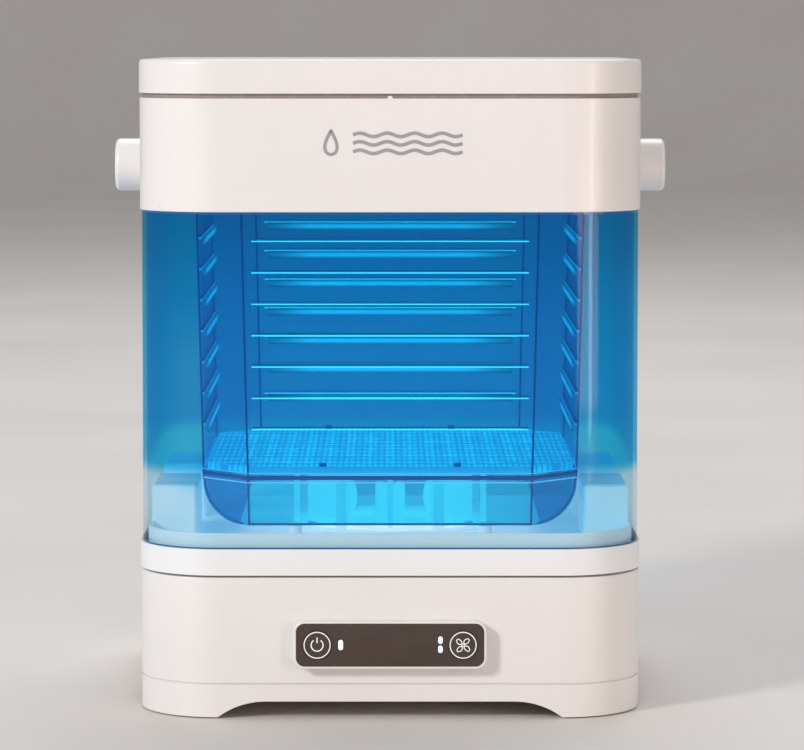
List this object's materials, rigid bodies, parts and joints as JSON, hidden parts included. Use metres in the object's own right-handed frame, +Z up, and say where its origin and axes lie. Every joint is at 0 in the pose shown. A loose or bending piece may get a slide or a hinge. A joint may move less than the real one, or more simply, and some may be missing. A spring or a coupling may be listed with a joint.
{
  "type": "resin wash station",
  "caption": "Square wash station for printed parts: motor base with keys, clear lift-off bucket with slotted basket and magnetically driven impeller, bail handle and lift-off lid.",
  "frame": {"origin": "on the table, under the centre of the station's square footprint", "axes": "+Z up, the control panel faces -Y, +X to the right seen from the front"},
  "size_m": [0.3314, 0.3305, 0.376],
  "materials": {
    "white_shell": "satin white moulded plastic",
    "white_tray": "smooth white moulded plastic",
    "blue_clear": "clear blue tinted polymer",
    "blue_basket": "clear deep blue polymer",
    "dark_fascia": "glossy dark brown black",
    "lamp_white": "milky light guide",
    "seal_rubber": "matt warm grey rubber",
    "foot_rubber": "matt black rubber",
    "grip_rubber": "grey soft sleeve",
    "screw_steel": "bright steel",
    "motor_steel": "zinc plated steel",
    "magnet_nickel": "nickel plated",
    "circuit_board": "green board",
    "dark_plastic": "black moulded plastic",
    "grey_mark": "grey printed mark"
  },
  "bodies": {
    "base": {"base_pan": "white_shell", "rubber_feet": "foot_rubber", "base_screws": "screw_steel", "base_shell": "white_shell", "panel_pod": "white_shell", "panel_fascia": "dark_fascia", "panel_lamps": "lamp_white", "key_board": "circuit_board", "motor": "motor_steel", "motor_plate": "motor_steel", "motor_pillars": "screw_steel", "main_board": "circuit_board", "board_parts": "dark_plastic", "dc_socket": "dark_plastic"},
    "power_button": {"power_key": "dark_fascia"},
    "fan_button": {"fan_key": "dark_fascia"},
    "rotor": {"magnet_wheel": "dark_plastic", "drive_magnets": "magnet_nickel"},
    "bucket": {"tray": "white_tray", "tank_wall": "blue_clear", "tray_seal": "seal_rubber", "band_seal": "seal_rubber", "band": "white_shell", "pivot_screws": "screw_steel", "impeller_pin": "screw_steel", "impeller_cage": "white_tray", "cage_screws": "screw_steel", "badge": "grey_mark"},
    "impeller": {"impeller": "white_tray", "impeller_magnets": "magnet_nickel", "impeller_bush": "dark_plastic"},
    "basket": {"basket": "blue_basket", "basket_skirt": "blue_basket", "basket_rim": "blue_basket", "basket_floor": "blue_basket", "floor_pegs": "blue_basket"},
    "lid": {"lid": "white_shell", "lid_seal": "seal_rubber"},
    "handle": {"bail": "white_shell", "hub_caps": "white_shell", "bail_grip": "grip_rubber"}
  },
  "joints": [
    {"name": "power_key_press", "type": "slide", "parent": "base", "child": "power_button", "axis": [0, 1, 0], "range_m": [0, 0.0005], "stiffness_N_per_m": 1200, "springref_m": -0.0008},
    {"name": "fan_key_press", "type": "slide", "parent": "base", "child": "fan_button", "axis": [0, 1, 0], "range_m": [0, 0.0005], "stiffness_N_per_m": 1200, "springref_m": -0.0008},
    {"name": "motor_spin", "type": "hinge", "parent": "base", "child": "rotor", "pos_m": [0, 0, 0.066], "axis": [0, 0, 1], "continuous": true},
    {"name": "bucket_lift", "type": "slide", "parent": "base", "child": "bucket", "axis": [0, 0, 1], "range_m": [0, 0.06]},
    {"name": "impeller_spin", "type": "hinge", "parent": "bucket", "child": "impeller", "pos_m": [0, 0, 0.1], "axis": [0, 0, 1], "continuous": true},
    {"name": "basket_lift", "type": "slide", "parent": "bucket", "child": "basket", "axis": [0, 0, 1], "range_m": [0, 0.25]},
    {"name": "lid_lift", "type": "slide", "parent": "bucket", "child": "lid", "axis": [0, 0, 1], "range_m": [0, 0.3]},
    {"name": "handle_swing", "type": "hinge", "parent": "bucket", "child": "handle", "pos_m": [0, 0, 0.3118], "axis": [1, 0, 0], "range_deg": [0, 195]}
  ],
  "couplings": [
    {"joint": "impeller_spin", "follows": "motor_spin", "ratio": 1},
    {"joint": "lid_lift", "follows": "basket_lift", "ratio": 1.2}
  ]
}
